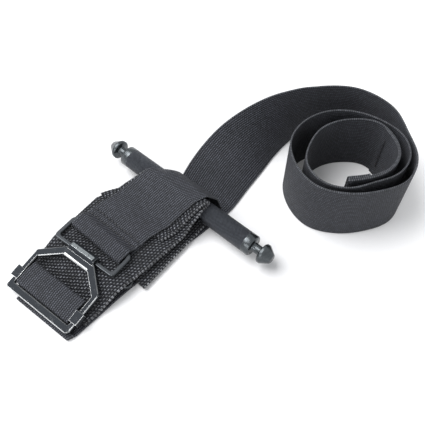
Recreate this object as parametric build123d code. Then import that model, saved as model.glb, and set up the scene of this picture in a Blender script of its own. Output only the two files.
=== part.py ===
from build123d import *
import math
import os

# Windlass tourniquet strap, folded flat for storage, with its long tail rolled on edge.
# Millimetres. +X runs along the strap, from the buckle to the rolled tail. +Y runs along the
# windlass. +Z is up. The origin is on the strap's underside, right below the windlass.

# webbing: smooth strap webbing, coarse pad webbing and thin keeper tape
STRAP_WIDTH = 38.0
STRAP_THICK = 1.0
PAD_THICK = 1.8
TAPE_WIDTH = 25.0
TAPE_THICK = 0.7
BAND_WIDTH = 26.0
BAND_THICK = 0.8
BAND_MIDDLE_Y = 4.5
BAND_DROP_LEAD = 1.8
BAND_END_X = -21.0
LAYER_GAP = 0.25

# windlass: a knurled rod with a turned neck and a coned head at each end
ROD_RADIUS = 6.1
ROD_LENGTH = 98.0
ROD_MIDDLE_Y = 1.9
NECK_RADIUS = 2.7
NECK_LENGTH = 5.6
HEAD_RADIUS = 5.8
RIM_LENGTH = 2.4
CONE_LENGTH = 4.4
TIP_RADIUS = 2.6
SLOT_PLAY = 6.0
SLOT_HEIGHT = 3.0
ROD_CHAMFER = 0.5

# rectangular ring that the buckle hooks on: the strap's width goes inside it with some room
RING_ROOM = 0.4
RING_REACH = 13.6
RING_BAR = 2.4
RING_THICK = 2.0
RING_CORNER = 2.6
RING_SWING_GAP = 0.35
RING_X = -50.3
RING_Y = 18.6
FRONT_YAW = 4.0

# buckle frame, in its own tilted plane, measured from the hook's centre
FRAME_REACH = 36.8
FRAME_ROOM = 1.0
FRAME_RAIL = 2.8
FRAME_THICK = 2.4
FRAME_LOW = -0.2
FRONT_BAR = 4.0
SHOULDER_REACH = 12.3
SHOULDER_INSIDE_REACH = 15.1
NECK_REACH = 2.2
NECK_WIDTH = 21.2
CROSS_BAR_REACH = 6.3
HOOK_WIDTH = 18.0
HOOK_PLATE = 1.4
HOOK_CLEARANCE = 0.25
HOOK_TIP_ANGLE = -10.0
FRAME_CORNER = 2.0

# clip strip that closes the hook's lip, with its two rivets
CLIP_LENGTH = 16.0
CLIP_WIDTH = 2.2
CLIP_THICK = 0.6
RIVET_RADIUS = 0.55
RIVET_HEIGHT = 0.35
RIVET_SPACING = 8.0

# slider bar that the strap's loop goes round, and its ears on the rails
SLIDER_WIDTH = 6.5
SLIDER_THICK = 1.4
SLIDER_GAP = 0.3
EAR_THICK = 1.1
EAR_LIP = 1.0
RISER_THICK = 0.6
SLIDER_LOW = 0.4
SLOT_ROOM = 2.1

# triangular ring trapped between the two pads
TRI_FRONT_X = -62.5
TRI_TIP_X = -25.0
TRI_MIDDLE_Y = 9.5
TRI_WIDTH = 48.0
TRI_TIP_WIDTH = 9.0
TRI_BAR = 2.8
TRI_THICK = 1.8
TRI_CORNER = 5.0
KEEPER_PLAY = 0.7
KEEPER_TAIL = 7.5

# pads, cover and run
PAD_FRONT_LEAD = 12.4
PAD_FOOT_LEAD = 13.9
PAD_CREST_LEAD = 2.1
PAD_FOLD_X = 1.0
PAD_CUT_X = -30.0
PAD_RAMP = 13.0
COVER_LOOP_ROOM = 3.7
COVER_LEG_END_X = -37.0
COVER_CREST_LEAD = 3.5
COVER_SHOULDER_LEAD = 2.8
COVER_SHOULDER_RISE = 3.4
COVER_HEEL_LEAD = 5.3
COVER_RETURN_X = 1.6
FOLD_FLAT = 0.05

# stitches: short threads laid flat on the webbing
STITCH_LENGTH = 1.5
STITCH_WIDTH = 0.5
STITCH_HEIGHT = 0.3
STITCH_PITCH = 2.5

# long strap: where it leaves the stack, and how it turns up on edge on its way to the roll
RUN_END_X = 14.0
RUN_END_Y = -0.1
RUN_FRONT_LEAD = 0.7
RUN_LEG = 5.8
# each station: x and y of the lower edge, and the tilt in degrees
TWIST_STATIONS = [
    (31.0, -16.6, 14.5),
    (49.0, -14.3, 35.0),
    (63.3, -12.0, 57.0),
    (75.0, -11.2, 70.0),
    (84.5, -11.4, 81.0),
]
# the roll: its centre, and its radius at every 30 degrees, clockwise
ROLL_CENTRE = (70.0, -58.0)
ROLL_START = 60.0
ROLL_STEP = 30.0
ROLL_RADII = [
    [51.2, 48.8, 42.9, 34.9, 35.3, 34.8, 31.4, 32.1, 35.2, 34.7, 34.5, 32.3],
    [30.5, 29.0, 29.1, 31.8, 31.7, 28.7, 25.1, 28.7, 31.0, 28.7, 23.4, 22.1],
    [21.6, 22.9, 27.0, 26.4, 26.4, 24.2, 22.2, 23.3],
]
HEM_STEPS = 5
TACK_HEIGHT = 22.0

# seen from above: the middle lines of run and cover as (x, y), and the outlines of the pads
RUN_MIDDLE = (-60.0, 7.7)
RUN_BEND = (4.4, 8.9)
RUN_TIP = (-1.6, 11.0)
COVER_MIDDLES = [(-60.0, 17.9), (-44.0, 18.7), (-28.0, 17.0), (0.0, 8.4), (13.0, 3.4)]
PAD_OUTLINE = [(-120.0, -8.0), (4.0, -14.8), (4.0, 26.5), (-32.0, 44.0), (-83.0, 38.2), (-120.0, 29.4)]
FLAP_OUTLINE = [(-31.0, -6.8), (4.0, -14.8), (4.0, 26.5), (-31.0, 43.0)]
LOW_PAD_OUTLINE = [(-54.5, -17.6), (0.0, -15.2), (0.0, 35.5), (-54.5, 33.0)]
COVER_STITCH_X = (-39.2, -43.0)
COVER_STITCH_Y = 18.0

# bends and small leads
SOFT_BEND = 2.2
PAD_RAMP_LEAD = 3.4
PAD_STEP = 2.4
COVER_STEP = 3.2
COVER_SEWN_X = -44.0
BAND_RISE_X = -13.0
BAND_LEAD = 2.3
RING_EDGE = 0.4
FRAME_EDGE = 0.4
CLIP_ANGLE = 12.0
CLIP_CORNER = 0.5
LOOP_FOLD = 1.7
LOOP_DRAPE = 5.6
SEAT = 0.02
UPRIGHT = 90.0
ROLL_SAMPLES = 4
TACK_FROM = 0.15
TACK_STEPS = 0.18
# longer than anything here: for cutting shapes
FAR = 400.0

# heights of the layers, from the table up
run_top = STRAP_THICK
fold_top = 2 * STRAP_THICK + LAYER_GAP
low_pad_bottom = run_top + LAYER_GAP
low_pad_top = low_pad_bottom + PAD_THICK
tri_bottom = low_pad_top + LAYER_GAP
tri_top = tri_bottom + TRI_THICK
pad_bottom = tri_top + LAYER_GAP
pad_top = pad_bottom + PAD_THICK
cover_leg_bottom = pad_top + LAYER_GAP
cover_leg_top = cover_leg_bottom + STRAP_THICK
ring_z = cover_leg_top + RING_SWING_GAP + RING_THICK / 2
cover_top_bottom = ring_z + RING_THICK / 2 + RING_SWING_GAP
cover_top = cover_top_bottom + STRAP_THICK
rod_z = low_pad_top + LAYER_GAP + ROD_RADIUS
crest_bottom = rod_z + ROD_RADIUS + LAYER_GAP

# the front unit (ring, buckle and slider) is turned a little on the strap
FRONT = Pos(RING_X, RING_Y, 0) * Rot(0, 0, FRONT_YAW)
hook_radius = math.hypot(RING_BAR / 2, RING_THICK / 2) + HOOK_CLEARANCE
frame_front_room = ring_z + FRAME_LOW - fold_top - LAYER_GAP
FRAME_TILT = math.degrees(math.asin(frame_front_room / FRAME_REACH))
BUCKLE = FRONT * Pos(-RING_REACH, 0, ring_z) * Rot(0, -FRAME_TILT, 0)
ring_inside = STRAP_WIDTH + 2 * RING_ROOM
frame_inside = STRAP_WIDTH + 2 * FRAME_ROOM

# places along the strap that follow the windlass, the ring and the buckle
pad_foot_x = -ROD_RADIUS - PAD_FOOT_LEAD
pad_crest_x = PAD_CREST_LEAD - ROD_RADIUS
band_drop_x = ROD_RADIUS + BAND_DROP_LEAD
cover_heel_x = ROD_RADIUS + COVER_HEEL_LEAD
cover_shoulder = (ROD_RADIUS + COVER_SHOULDER_LEAD, rod_z + COVER_SHOULDER_RISE)
cover_crest_end_x = ROD_RADIUS - COVER_CREST_LEAD
cover_loop_x = RING_X - RING_BAR / 2 - COVER_LOOP_ROOM
run_front_x = RING_X - RING_REACH - FRAME_REACH - RUN_FRONT_LEAD
run_leg_end_x = run_front_x + RUN_LEG
pad_front_x = run_front_x + PAD_FRONT_LEAD


def band(points, radii, thick, width, middle=0.0):
    """A strip of webbing: its centre line (x, z) in side view, its bends, thickness, width and middle y."""
    line = FilletPolyline(*[Vector(x, middle, z) for x, z in points], radius=radii)
    across = line % 0
    plane = Plane(origin=line @ 0, x_dir=(0, 1, 0), z_dir=across)
    return sweep(plane * Rectangle(width, thick), path=line)


def seen_from_above(outline, bottom=0.0, height=FAR):
    """An upright prism on an outline of (x, y) points."""
    return Pos(0, 0, bottom) * extrude(make_face(Polyline(*outline, close=True)), amount=height)


def strap_from_above(middles):
    """An upright prism of the strap's width along a middle line of (x, y) points."""
    half = STRAP_WIDTH / 2
    left = [(x, y + half) for x, y in middles]
    right = [(x, y - half) for x, y in reversed(middles)]
    return seen_from_above(left + right)


def hump(offset):
    """Foot and crest of the slope up the windlass, for a layer this far above the pad's underside."""
    rise = crest_bottom - pad_bottom
    half_angle = math.atan2(rise, pad_crest_x - pad_foot_x) / 2
    shift = offset * math.tan(half_angle)
    foot = (pad_foot_x - shift, pad_bottom + offset)
    crest = (pad_crest_x - shift, crest_bottom + offset)
    return foot, crest


def skewed(shape):
    """A shape turned on the strap as the front unit is, about the middle of the strap's front fold."""
    middle = Pos(run_front_x, RING_Y, 0)
    return middle * Rot(0, 0, FRONT_YAW) * middle.inverse() * shape


def strap_run():
    """The strap's bottom run, with its front fold under the buckle."""
    low = STRAP_THICK / 2
    high = low + STRAP_THICK + LAYER_GAP
    fold = (STRAP_THICK + LAYER_GAP) / 2 - FOLD_FLAT
    points = [(RUN_END_X + STRAP_WIDTH, low), (run_front_x, low), (run_front_x, high), (run_leg_end_x, high)]
    strip = skewed(band(points, [fold, fold], STRAP_THICK, 3 * STRAP_WIDTH))
    bend = (run_front_x + RUN_BEND[0], RUN_BEND[1])
    tip = (run_front_x + RUN_TIP[0], RUN_TIP[1])
    return strip & strap_from_above([(RUN_END_X, RUN_END_Y), RUN_MIDDLE, bend, tip])


def roll_line():
    """The outer face of the rolled strap, seen from above, wound clockwise."""
    radii = [radius for turn in ROLL_RADII for radius in turn]
    points = []
    for step, radius in enumerate(radii):
        angle = math.radians(ROLL_START - step * ROLL_STEP)
        x = ROLL_CENTRE[0] + radius * math.cos(angle)
        y = ROLL_CENTRE[1] + radius * math.sin(angle)
        points.append((x, y))
    return Spline(*points), len(radii) - 1


def roll_layer(begin, end, near, far, bottom=0.0, height=STRAP_WIDTH):
    """A layer of the roll between two of its steps, from one depth inside its outer face to another."""
    line, steps = roll_line()
    count = math.ceil((end - begin) * ROLL_SAMPLES)
    sides = []
    for depth in (near, far):
        points = []
        for index in range(count + 1):
            place = (begin + (end - begin) * index / count) / steps
            tangent = line % place
            points.append(line @ place + Vector(tangent.Y, -tangent.X, 0) * depth)
        sides.append(Spline(*points))
    ends = [Line(sides[0] @ 0, sides[1] @ 0), Line(sides[0] @ 1, sides[1] @ 1)]
    return Pos(0, 0, bottom) * extrude(make_face(sides + ends), amount=height)


def strap_twist():
    """The stretch where the strap turns up on edge: flat sections joined from station to station."""
    line, _ = roll_line()
    start = line @ 0
    stations = [(RUN_END_X, RUN_END_Y - STRAP_WIDTH / 2, 0.0)] + TWIST_STATIONS
    stations.append((start.X, start.Y, UPRIGHT))
    faces = []
    for index, (x, y, tilt) in enumerate(stations):
        before = stations[max(index - 1, 0)]
        after = stations[min(index + 1, len(stations) - 1)]
        along = Vector(after[0] - before[0], after[1] - before[1], 0).normalized()
        if index == 0:
            along = Vector(1, 0, 0)
        if index == len(stations) - 1:
            along = line % 0
        level = Vector(-along.Y, along.X, 0)
        lean = math.radians(tilt)
        across = level * math.cos(lean) + Vector(0, 0, 1) * math.sin(lean)
        normal = along.cross(across)
        low = Vector(x, y, 0)
        high = low + across * STRAP_WIDTH
        depth = normal * STRAP_THICK
        faces.append(make_face(Polyline(low, high, high + depth, low + depth, close=True)))
    return loft(faces, ruled=True)


def long_strap():
    """One length of smooth webbing: bottom run, twist on edge and three turns of roll."""
    _, steps = roll_line()
    roll = roll_layer(0, steps, 0, STRAP_THICK)
    return Compound(children=[strap_run(), strap_twist(), roll])


def tail_hem():
    """The strap's end, folded back on itself inside the roll."""
    line, steps = roll_line()
    near = STRAP_THICK + LAYER_GAP
    layer = roll_layer(steps - HEM_STEPS, steps, near, near + STRAP_THICK)
    tangent = line % 1
    inward = Vector(tangent.Y, -tangent.X, 0)
    outside = line @ 1
    inside = outside + inward * (near + STRAP_THICK)
    tip = (outside + inside) / 2 + tangent * ((near + STRAP_THICK) / 2)
    section = make_face([ThreePointArc(outside, tip, inside), Line(inside, outside)])
    return layer + extrude(section, amount=STRAP_WIDTH)


def tail_bartack():
    """The dense bar of thread that sews the hem down."""
    _, steps = roll_line()
    begin = steps - HEM_STEPS + TACK_FROM
    near = 2 * STRAP_THICK + LAYER_GAP + SEAT
    bottom = (STRAP_WIDTH - TACK_HEIGHT) / 2
    return roll_layer(begin, begin + TACK_STEPS, near, near + STITCH_HEIGHT, bottom, TACK_HEIGHT)


def base_pad():
    """The coarse pad: it runs under the buckle, climbs the windlass and folds back on top of itself."""
    half = PAD_THICK / 2
    front = run_top + LAYER_GAP + half
    over_keeper = tri_top + 2 * LAYER_GAP + TAPE_THICK + half
    keeper_end = TRI_FRONT_X + TRI_BAR + KEEPER_PLAY + TAPE_THICK
    foot, crest = hump(half)
    flap_foot, flap_crest = hump(half + PAD_THICK + LAYER_GAP)
    fold = (PAD_THICK + LAYER_GAP) / 2 - FOLD_FLAT
    ramp_top = TRI_FRONT_X - KEEPER_PLAY - PAD_RAMP_LEAD
    points = [
        (pad_front_x, front),
        (ramp_top - PAD_RAMP, front),
        (ramp_top, over_keeper),
        (keeper_end + 2 * LAYER_GAP, over_keeper),
        (keeper_end + 2 * LAYER_GAP + PAD_STEP, pad_bottom + half),
        foot,
        crest,
        (PAD_FOLD_X, crest[1]),
        (PAD_FOLD_X, flap_crest[1]),
        (PAD_FOLD_X - 2 * PAD_THICK, flap_crest[1]),
    ]
    radii = [SOFT_BEND] * 6 + [fold, fold]
    lower = band(points, radii, PAD_THICK, 3 * STRAP_WIDTH) & seen_from_above(PAD_OUTLINE)
    points = [points[-1], flap_crest, flap_foot, (PAD_CUT_X, flap_foot[1])]
    flap = band(points, [SOFT_BEND, SOFT_BEND], PAD_THICK, 3 * STRAP_WIDTH)
    return lower + (flap & seen_from_above(FLAP_OUTLINE))


def lower_pad():
    """The short coarse pad between the strap's run and the base pad."""
    return seen_from_above(LOW_PAD_OUTLINE, low_pad_bottom, PAD_THICK)


def cover_webbing():
    """Smooth webbing over the whole stack: from under the windlass, over it, and round the ring."""
    half = STRAP_THICK / 2
    foot, crest = hump(2 * PAD_THICK + 2 * LAYER_GAP + half)
    heel = run_top + LAYER_GAP + half
    sewn = cover_leg_top + LAYER_GAP + half
    loop_top = cover_top_bottom + half
    loop_low = cover_leg_bottom + half
    points = [
        (COVER_RETURN_X, heel),
        (cover_heel_x, heel),
        cover_shoulder,
        (cover_crest_end_x, crest[1]),
        crest,
        foot,
        (PAD_CUT_X - COVER_STEP, foot[1]),
        (PAD_CUT_X - 2 * COVER_STEP, sewn),
        (COVER_SEWN_X, sewn),
        (COVER_SEWN_X - COVER_STEP, loop_top),
        (cover_loop_x, loop_top),
        (cover_loop_x, loop_low),
        (COVER_LEG_END_X, loop_low),
    ]
    loop = (loop_top - loop_low) / 2 - FOLD_FLAT
    bends = [STRAP_THICK, SOFT_BEND, SOFT_BEND, SOFT_BEND, SOFT_BEND]
    radii = bends + [SOFT_BEND, SOFT_BEND, STRAP_THICK, STRAP_THICK, loop, loop]
    return band(points, radii, STRAP_THICK, 3 * STRAP_WIDTH) & strap_from_above(COVER_MIDDLES)


def stitch_row(x, middle_y, width, seat):
    """A row of short threads across a webbing of this width, lying on a flat face at height seat."""
    on_face = (Align.CENTER, Align.CENTER, Align.MIN)
    reach = width / 2 - STITCH_PITCH
    count = int(2 * reach // STITCH_PITCH)
    threads = []
    for index in range(count + 1):
        thread = Box(STITCH_WIDTH, STITCH_LENGTH, STITCH_HEIGHT, align=on_face)
        threads.append(Pos(x, middle_y - reach + index * STITCH_PITCH, seat) * thread)
    return threads


def cover_stitching():
    """The two rows of thread that close the cover's loop round the ring."""
    seat = cover_leg_top + LAYER_GAP + STRAP_THICK
    threads = []
    for x in COVER_STITCH_X:
        threads += stitch_row(x, COVER_STITCH_Y, STRAP_WIDTH, seat)
    return Compound(children=threads)


def tension_band():
    """The inner band that the windlass winds: from the lower pad, through the rod's slot, to the cover."""
    half = BAND_THICK / 2
    laid = low_pad_top + LAYER_GAP + half
    heel_top = run_top + 2 * LAYER_GAP + STRAP_THICK
    points = [
        (BAND_END_X, laid),
        (BAND_RISE_X, laid),
        (-ROD_RADIUS - BAND_LEAD, rod_z),
        (band_drop_x, rod_z),
        (band_drop_x + STRAP_THICK, heel_top),
    ]
    return band(points, [SOFT_BEND, SOFT_BEND, STRAP_THICK], BAND_THICK, BAND_WIDTH, BAND_MIDDLE_Y)


def tension_band_stitching():
    """The two rows of thread that sew the inner band to the lower pad."""
    seat = low_pad_top + LAYER_GAP + BAND_THICK
    threads = []
    for x in (BAND_END_X + STITCH_LENGTH, BAND_END_X + 2 * STITCH_PITCH):
        threads += stitch_row(x, BAND_MIDDLE_Y, BAND_WIDTH, seat)
    return Compound(children=threads)


def windlass():
    """The turned rod: body with chamfered ends, a neck and a coned head at each end, a slot for the band."""
    half = ROD_LENGTH / 2
    neck = half + NECK_LENGTH
    rim = neck + RIM_LENGTH
    tip = rim + CONE_LENGTH
    outline = [
        (0, 0),
        (ROD_RADIUS, 0),
        (ROD_RADIUS, half - ROD_CHAMFER),
        (ROD_RADIUS - ROD_CHAMFER, half),
        (NECK_RADIUS, half),
        (NECK_RADIUS, neck),
        (HEAD_RADIUS - ROD_CHAMFER, neck),
        (HEAD_RADIUS, neck + ROD_CHAMFER),
        (HEAD_RADIUS, rim),
        (TIP_RADIUS, tip),
        (0, tip),
    ]
    half_rod = revolve(make_face(Polyline(*outline, close=True)), axis=Axis.Y)
    rod = half_rod + mirror(half_rod, about=Plane.XZ)
    slot_length = BAND_WIDTH + 2 * SLOT_PLAY
    slot = Pos(0, BAND_MIDDLE_Y - ROD_MIDDLE_Y, 0) * Box(FAR, slot_length, SLOT_HEIGHT)
    return Pos(0, ROD_MIDDLE_Y, rod_z) * (rod - slot)


def tri_ring():
    """The flat triangular ring that lies between the two pads."""
    half = TRI_WIDTH / 2
    tip = TRI_TIP_WIDTH / 2
    corners = [(TRI_FRONT_X, -half), (TRI_TIP_X, -tip), (TRI_TIP_X, tip), (TRI_FRONT_X, half)]
    outer = make_face(Polyline(*corners, close=True))
    hole = offset(outer, amount=-TRI_BAR)
    outer = fillet(outer.vertices(), radius=TRI_CORNER - TRI_BAR / 2)
    hole = fillet(hole.vertices(), radius=TRI_CORNER - TRI_BAR)
    return Pos(0, TRI_MIDDLE_Y, tri_bottom) * extrude(outer - hole, amount=TRI_THICK)


def tri_ring_keeper():
    """The tape that holds the triangular ring: round its long bar, with both legs sewn together."""
    half = TAPE_THICK / 2
    low = tri_bottom - LAYER_GAP - half
    high = tri_top + LAYER_GAP + half
    leg = low + TAPE_THICK + LAYER_GAP
    near = TRI_FRONT_X + TRI_BAR + KEEPER_PLAY + half
    back = TRI_FRONT_X - KEEPER_PLAY
    points = [
        (back - KEEPER_TAIL, low),
        (near, low),
        (near, high),
        (back, high),
        (back - KEEPER_TAIL / 2, leg),
        (back - KEEPER_TAIL, leg),
    ]
    radii = [TAPE_THICK, TAPE_THICK, TAPE_THICK, TAPE_THICK]
    return band(points, radii, TAPE_THICK, TAPE_WIDTH, TRI_MIDDLE_Y)


def keeper_stitching():
    """The row of thread through the keeper's legs."""
    seat = tri_bottom + TAPE_THICK
    x = TRI_FRONT_X - KEEPER_PLAY - KEEPER_TAIL + STITCH_LENGTH
    return Compound(children=stitch_row(x, TRI_MIDDLE_Y, TAPE_WIDTH, seat))


def rectangular_ring():
    """The flat ring in the cover's loop, that the buckle hooks on."""
    length = RING_REACH + RING_BAR
    width = ring_inside + 2 * RING_BAR
    outer = RectangleRounded(length, width, RING_CORNER)
    hole = RectangleRounded(length - 2 * RING_BAR, ring_inside, RING_CORNER - RING_BAR / 2)
    ring = extrude(outer - hole, amount=RING_THICK / 2, both=True)
    sharp = ring.edges().filter_by(Plane.XY)
    ring = chamfer(sharp, length=RING_EDGE)
    return FRONT * Pos(-RING_REACH / 2, 0, ring_z) * ring


def buckle_frame():
    """The stamped frame: front bar, two rails, two arms and the hook rolled over the ring's bar."""
    wide = frame_inside / 2 + FRAME_RAIL
    inside = frame_inside / 2
    neck = NECK_WIDTH / 2
    hook = HOOK_WIDTH / 2
    outer = [
        (-FRAME_REACH, wide),
        (-SHOULDER_REACH, wide),
        (-NECK_REACH, neck),
        (-NECK_REACH / 2, hook),
    ]
    window = [
        (FRONT_BAR - FRAME_REACH, inside),
        (-SHOULDER_INSIDE_REACH, inside),
        (-CROSS_BAR_REACH, hook),
    ]
    faces = []
    for outline, radius in ((outer, FRAME_CORNER), (window, FRAME_CORNER / 2)):
        mirrored = [(p, -v) for p, v in reversed(outline)]
        face = make_face(Polyline(*outline, *mirrored, close=True))
        front = face.vertices().group_by(Axis.X)[0]
        shoulders = face.vertices().group_by(Axis.X)[1]
        faces.append(fillet(front + shoulders, radius=radius))
    plate = Pos(0, 0, FRAME_LOW) * extrude(faces[0] - faces[1], amount=FRAME_THICK)
    plate = chamfer(plate.faces().sort_by(Axis.Z)[-1].edges(), length=FRAME_EDGE)
    bore = Rot(90, 0, 0) * Cylinder(hook_radius, FAR)
    curl = Rot(90, 0, 0) * Cylinder(hook_radius + HOOK_PLATE, HOOK_WIDTH)
    tip = Rot(0, -HOOK_TIP_ANGLE, 0) * Pos(FAR / 2, 0, -FAR / 2) * Box(FAR, FAR, FAR)
    behind = Pos(-FAR / 2, 0, FRAME_LOW - FAR / 2) * Box(FAR, FAR, FAR)
    hook_solid = curl - tip - behind
    return BUCKLE * (plate + hook_solid - bore)


def clip_place(height):
    """A place on the hook's lip, at a height above its outer face."""
    return BUCKLE * Rot(0, CLIP_ANGLE, 0) * Pos(0, 0, hook_radius + HOOK_PLATE + SEAT + height)


def hook_clip():
    """The thin spring strip riveted along the hook's lip."""
    strip = Box(CLIP_WIDTH, CLIP_LENGTH, CLIP_THICK, align=(Align.CENTER, Align.CENTER, Align.MIN))
    strip = fillet(strip.edges().filter_by(Axis.Z), radius=CLIP_CORNER)
    return clip_place(0) * strip


def clip_rivets():
    """The two rivet heads on the clip."""
    heads = []
    for side in (-1, 1):
        head = Cylinder(RIVET_RADIUS, RIVET_HEIGHT, align=(Align.CENTER, Align.CENTER, Align.MIN))
        heads.append(clip_place(CLIP_THICK) * Pos(0, side * RIVET_SPACING / 2, 0) * head)
    return Compound(children=heads)


def slider_centre():
    """The slider's place along the frame, from the hook's centre."""
    return FRONT_BAR - FRAME_REACH + SLOT_ROOM + SLIDER_WIDTH / 2


def slider_bar():
    """The flat bar across the window, with an ear round each rail."""
    inside = frame_inside / 2 - SLIDER_GAP
    ear_low = FRAME_LOW + FRAME_THICK + SLIDER_GAP
    ear_top = ear_low + EAR_THICK
    outside = frame_inside / 2 + FRAME_RAIL + SLIDER_GAP
    profile = [
        (0, SLIDER_LOW),
        (inside, SLIDER_LOW),
        (inside, ear_low),
        (outside, ear_low),
        (outside, FRAME_LOW),
        (outside + EAR_LIP, FRAME_LOW),
        (outside + EAR_LIP, ear_top),
        (inside - RISER_THICK, ear_top),
        (inside - RISER_THICK, SLIDER_LOW + SLIDER_THICK),
        (0, SLIDER_LOW + SLIDER_THICK),
    ]
    face = make_face(Polyline(*[(0, v, q) for v, q in profile], close=True))
    half = extrude(face, amount=SLIDER_WIDTH / 2, both=True)
    bar = half + mirror(half, about=Plane.XZ)
    return BUCKLE * Pos(slider_centre(), 0, 0) * bar


def buckle_strap_loop():
    """The strap round the slider bar: up the front slot, over the bar, down the window and back under."""
    half = STRAP_THICK / 2
    over = SLIDER_LOW + SLIDER_THICK + LAYER_GAP + half
    under = SLIDER_LOW - LAYER_GAP - half
    front = FRONT_BAR - FRAME_REACH + SLOT_ROOM / 2
    back = slider_centre() + SLIDER_WIDTH / 2
    tilt = math.radians(FRAME_TILT)
    floor = fold_top + 2 * LAYER_GAP - ring_z
    foot = (floor - front * math.sin(tilt)) / math.cos(tilt)
    inner_top = under + LOOP_FOLD
    points = [
        (front, foot),
        (front, over),
        (back + half, over),
        (back + LOOP_DRAPE, inner_top),
        (back + LOOP_DRAPE, under),
        (front + STRAP_THICK + 2 * LAYER_GAP, under),
    ]
    fold = LOOP_FOLD / 2 - FOLD_FLAT
    radii = [STRAP_THICK, 2 * STRAP_THICK, fold, fold]
    return BUCKLE * band(points, radii, STRAP_THICK, STRAP_WIDTH)


PARTS = {
    "long_strap": long_strap,
    "tail_hem": tail_hem,
    "tail_bartack": tail_bartack,
    "base_pad": base_pad,
    "lower_pad": lower_pad,
    "cover_webbing": cover_webbing,
    "cover_stitching": cover_stitching,
    "tension_band": tension_band,
    "tension_band_stitching": tension_band_stitching,
    "windlass": windlass,
    "tri_ring": tri_ring,
    "tri_ring_keeper": tri_ring_keeper,
    "keeper_stitching": keeper_stitching,
    "rectangular_ring": rectangular_ring,
    "buckle_frame": buckle_frame,
    "hook_clip": hook_clip,
    "clip_rivets": clip_rivets,
    "slider_bar": slider_bar,
    "buckle_strap_loop": buckle_strap_loop,
}

os.makedirs("parts", exist_ok=True)
for name, make in PARTS.items():
    export_step(make(), f"parts/{name}.step")
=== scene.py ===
import bmesh
import bpy
import math
from mathutils import Matrix, Vector, noise


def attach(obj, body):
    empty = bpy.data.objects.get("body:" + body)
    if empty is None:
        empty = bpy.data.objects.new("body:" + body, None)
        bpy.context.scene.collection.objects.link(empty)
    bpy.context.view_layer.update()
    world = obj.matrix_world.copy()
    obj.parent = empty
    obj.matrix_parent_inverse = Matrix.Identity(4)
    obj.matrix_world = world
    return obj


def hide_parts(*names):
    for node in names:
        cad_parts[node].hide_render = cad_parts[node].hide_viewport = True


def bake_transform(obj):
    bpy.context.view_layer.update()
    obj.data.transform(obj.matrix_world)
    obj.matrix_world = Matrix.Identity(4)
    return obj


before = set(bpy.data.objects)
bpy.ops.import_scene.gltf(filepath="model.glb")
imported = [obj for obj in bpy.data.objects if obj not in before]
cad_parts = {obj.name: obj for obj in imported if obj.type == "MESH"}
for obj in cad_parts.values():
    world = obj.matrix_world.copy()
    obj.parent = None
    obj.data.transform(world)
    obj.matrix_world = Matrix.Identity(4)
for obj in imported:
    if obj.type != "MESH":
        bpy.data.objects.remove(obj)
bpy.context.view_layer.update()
MM = 0.001

# ---------------------------------------------------------------- the table, the light and the camera
# The strap lies on a plain white table. The table reads as white to the camera and in the metal, and
# it still takes the strap's soft shadow.
def finished(name, shape):
    """A bmesh made into an object of its own, which is put in the scene."""
    mesh = bpy.data.meshes.new(name)
    shape.to_mesh(mesh)
    shape.free()
    piece = bpy.data.objects.new(name, mesh)
    bpy.context.scene.collection.objects.link(piece)
    return piece


TABLE_HALF, TABLE_DROP = 4.0, 0.0003
shape = bmesh.new()
bmesh.ops.create_grid(shape, x_segments=1, y_segments=1, size=TABLE_HALF)
bmesh.ops.translate(shape, verts=shape.verts, vec=(0, 0, -TABLE_DROP))
table = finished("table", shape)


def new_material(name):
    """A bare node material: its node tree and its surface output."""
    material = bpy.data.materials.new(name)
    material.use_nodes = True
    material.node_tree.nodes.clear()
    return material, material.node_tree, material.node_tree.nodes.new("ShaderNodeOutputMaterial")


def put(tree, kind, **values):
    """A node with its settings and its unlinked sockets set, or linked where a socket is given."""
    made = tree.nodes.new(kind)
    for key, value in values.items():
        name = key.replace("_", " ")
        if name in made.inputs:
            if isinstance(value, bpy.types.NodeSocket):
                tree.links.new(value, made.inputs[name])
            else:
                made.inputs[name].default_value = value
        else:
            setattr(made, key, value)
    return made


def maths(tree, operation, *values, clamp=False):
    """A Math node of one to three values, each a number or a socket, and its output."""
    made = tree.nodes.new("ShaderNodeMath")
    made.operation = operation
    made.use_clamp = clamp
    for socket, value in zip(made.inputs, values):
        if isinstance(value, bpy.types.NodeSocket):
            tree.links.new(value, socket)
        else:
            socket.default_value = value
    return made.outputs[0]


# the table glows only where it is seen, and more the further it is from the strap, so that its far part
# stays white and the shadow close by still shows
material, tree, output = new_material("white_table")
card = put(tree, "ShaderNodeBsdfDiffuse", Color=(0.78, 0.78, 0.79, 1))
place = tree.nodes.new("ShaderNodeTexCoord")
away = put(tree, "ShaderNodeVectorMath", operation="LENGTH")
tree.links.new(place.outputs["Object"], away.inputs[0])
far = put(
    tree, "ShaderNodeMapRange", Value=away.outputs["Value"], From_Min=0.08, From_Max=0.35, To_Min=0.06,
    To_Max=1.0)
glow = put(tree, "ShaderNodeEmission", Color=(1, 1, 1, 1), Strength=far.outputs["Result"])
both = tree.nodes.new("ShaderNodeAddShader")
tree.links.new(card.outputs[0], both.inputs[0])
tree.links.new(glow.outputs[0], both.inputs[1])
seen = tree.nodes.new("ShaderNodeLightPath")
direct = maths(tree, "MAXIMUM", seen.outputs["Is Camera Ray"], seen.outputs["Is Glossy Ray"])
pick = tree.nodes.new("ShaderNodeMixShader")
tree.links.new(direct, pick.inputs[0])
tree.links.new(card.outputs[0], pick.inputs[1])
tree.links.new(both.outputs[0], pick.inputs[2])
tree.links.new(pick.outputs[0], output.inputs["Surface"])
table.data.materials.append(material)

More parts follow.
